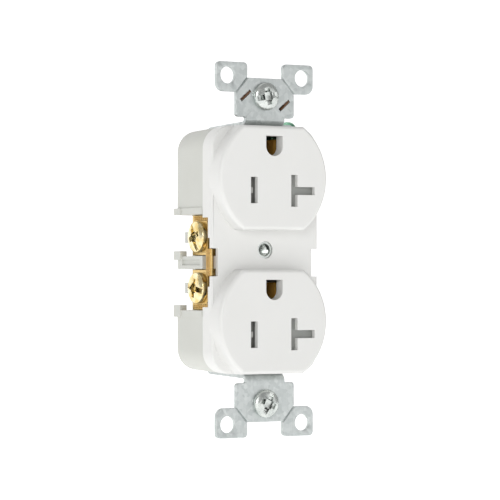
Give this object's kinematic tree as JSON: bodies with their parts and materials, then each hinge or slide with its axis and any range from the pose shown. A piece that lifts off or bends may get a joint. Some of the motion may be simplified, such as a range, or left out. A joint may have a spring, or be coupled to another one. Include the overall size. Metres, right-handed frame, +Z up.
{
  "type": "duplex wall outlet",
  "caption": "Tamper-resistant duplex wall outlet with T-slots, side terminal screws and a wrap-around steel strap",
  "frame": {"origin": "centre of the mounting plane: the rear face of the ears, midway between the two mounting screws", "axes": "+Z up, +Y into the wall, +X to the right seen from the room; the hot side is -X"},
  "size_m": [0.0352, 0.0269, 0.1014],
  "materials": {
    "white_cover": "satin moulded thermoplastic, white",
    "grey_body": "moulded thermoplastic, light warm grey",
    "galvanised": "galvanised steel strip, slightly mottled",
    "zinc_screw": "zinc-plated steel, bright",
    "nickel_screw": "nickel-plated, silver coloured",
    "brass_screw": "brass-plated, satin",
    "green_screw": "green passivated steel",
    "brass_strip": "rolled brass strip",
    "contact_brass": "brass strip, tarnished",
    "bronze_spring": "spring bronze",
    "fibre": "thin moulded washer",
    "grey_shutter": "grey acetal",
    "shutter_base": "moulded thermoplastic",
    "spring_steel": "drawn spring wire"
  },
  "bodies": {
    "device": {"front_cover": "white_cover", "rear_body": "grey_body", "mounting_strap": "galvanised", "self_ground_clip": "bronze_spring", "center_post": "zinc_screw", "hot_bus": "brass_strip", "neutral_bus": "nickel_screw", "upper_screw_retainer": "fibre", "upper_ground_contact": "contact_brass", "upper_ground_rivet": "zinc_screw", "upper_hot_contact": "contact_brass", "upper_neutral_contact": "contact_brass", "upper_shutter_frame": "shutter_base", "upper_hot_shutter_spring": "spring_steel", "upper_neutral_shutter_spring": "spring_steel", "lower_screw_retainer": "fibre", "lower_ground_contact": "contact_brass", "lower_ground_rivet": "zinc_screw", "lower_hot_contact": "contact_brass", "lower_neutral_contact": "contact_brass", "lower_shutter_frame": "shutter_base", "lower_hot_shutter_spring": "spring_steel", "lower_neutral_shutter_spring": "spring_steel"},
    "upper_mounting_screw_body": {"upper_mounting_screw": "zinc_screw"},
    "lower_mounting_screw_body": {"lower_mounting_screw": "zinc_screw"},
    "ground_screw_body": {"ground_screw": "green_screw"},
    "upper_hot_clamp": {"upper_hot_clamp_plate": "brass_strip"},
    "upper_hot_screw": {"upper_hot_terminal_screw": "brass_screw"},
    "upper_neutral_clamp": {"upper_neutral_clamp_plate": "nickel_screw"},
    "upper_neutral_screw": {"upper_neutral_terminal_screw": "nickel_screw"},
    "lower_hot_clamp": {"lower_hot_clamp_plate": "brass_strip"},
    "lower_hot_screw": {"lower_hot_terminal_screw": "brass_screw"},
    "lower_neutral_clamp": {"lower_neutral_clamp_plate": "nickel_screw"},
    "lower_neutral_screw": {"lower_neutral_terminal_screw": "nickel_screw"},
    "upper_neutral_slide": {"upper_neutral_shutter": "grey_shutter"},
    "upper_hot_slide": {"upper_hot_shutter": "grey_shutter"},
    "lower_neutral_slide": {"lower_neutral_shutter": "grey_shutter"},
    "lower_hot_slide": {"lower_hot_shutter": "grey_shutter"}
  },
  "joints": [
    {"name": "upper_mounting_screw_turn", "type": "hinge", "parent": "device", "child": "upper_mounting_screw_body", "pos_m": [0, 0, 0.04167], "axis": [0, -1, 0], "continuous": true},
    {"name": "lower_mounting_screw_turn", "type": "hinge", "parent": "device", "child": "lower_mounting_screw_body", "pos_m": [0, 0, -0.04167], "axis": [0, -1, 0], "continuous": true},
    {"name": "ground_screw_turn", "type": "hinge", "parent": "device", "child": "ground_screw_body", "pos_m": [0.0126, 0.0088, 0.031], "axis": [1, 0, 0], "continuous": true},
    {"name": "upper_hot_clamp_slide", "type": "slide", "parent": "device", "child": "upper_hot_clamp", "axis": [-1, 0, 0], "range_m": [0, 0.0022]},
    {"name": "upper_hot_screw_turn", "type": "hinge", "parent": "upper_hot_clamp", "child": "upper_hot_screw", "pos_m": [-0.0155, 0.0075, 0.00355], "axis": [-1, 0, 0], "range_deg": [0, 1000]},
    {"name": "upper_neutral_clamp_slide", "type": "slide", "parent": "device", "child": "upper_neutral_clamp", "axis": [1, 0, 0], "range_m": [0, 0.0022]},
    {"name": "upper_neutral_screw_turn", "type": "hinge", "parent": "upper_neutral_clamp", "child": "upper_neutral_screw", "pos_m": [0.0155, 0.0075, 0.00355], "axis": [1, 0, 0], "range_deg": [0, 1000]},
    {"name": "lower_hot_clamp_slide", "type": "slide", "parent": "device", "child": "lower_hot_clamp", "axis": [-1, 0, 0], "range_m": [0, 0.0022]},
    {"name": "lower_hot_screw_turn", "type": "hinge", "parent": "lower_hot_clamp", "child": "lower_hot_screw", "pos_m": [-0.0155, 0.0075, -0.01035], "axis": [-1, 0, 0], "range_deg": [0, 1000]},
    {"name": "lower_neutral_clamp_slide", "type": "slide", "parent": "device", "child": "lower_neutral_clamp", "axis": [1, 0, 0], "range_m": [0, 0.0022]},
    {"name": "lower_neutral_screw_turn", "type": "hinge", "parent": "lower_neutral_clamp", "child": "lower_neutral_screw", "pos_m": [0.0155, 0.0075, -0.01035], "axis": [1, 0, 0], "range_deg": [0, 1000]},
    {"name": "upper_neutral_shutter_open", "type": "slide", "parent": "device", "child": "upper_neutral_slide", "axis": [-1, 0, 0], "range_m": [0, 0.0078], "stiffness_N_per_m": 40, "springref_m": -0.003, "deforming": ["upper_neutral_shutter_spring"]},
    {"name": "upper_hot_shutter_open", "type": "slide", "parent": "device", "child": "upper_hot_slide", "axis": [-1, 0, 0], "range_m": [0, 0.0029], "deforming": ["upper_hot_shutter_spring"]},
    {"name": "lower_neutral_shutter_open", "type": "slide", "parent": "device", "child": "lower_neutral_slide", "axis": [-1, 0, 0], "range_m": [0, 0.0078], "stiffness_N_per_m": 40, "springref_m": -0.003, "deforming": ["lower_neutral_shutter_spring"]},
    {"name": "lower_hot_shutter_open", "type": "slide", "parent": "device", "child": "lower_hot_slide", "axis": [-1, 0, 0], "range_m": [0, 0.0029], "deforming": ["lower_hot_shutter_spring"]}
  ],
  "couplings": [
    {"joint": "upper_hot_screw_turn", "follows": "upper_hot_clamp_slide", "rad_per_m": 7915.8},
    {"joint": "upper_neutral_screw_turn", "follows": "upper_neutral_clamp_slide", "rad_per_m": 7915.8},
    {"joint": "lower_hot_screw_turn", "follows": "lower_hot_clamp_slide", "rad_per_m": 7915.8},
    {"joint": "lower_neutral_screw_turn", "follows": "lower_neutral_clamp_slide", "rad_per_m": 7915.8},
    {"joint": "upper_hot_shutter_open", "follows": "upper_neutral_shutter_open", "ratio": 0.36},
    {"joint": "lower_hot_shutter_open", "follows": "lower_neutral_shutter_open", "ratio": 0.36}
  ]
}
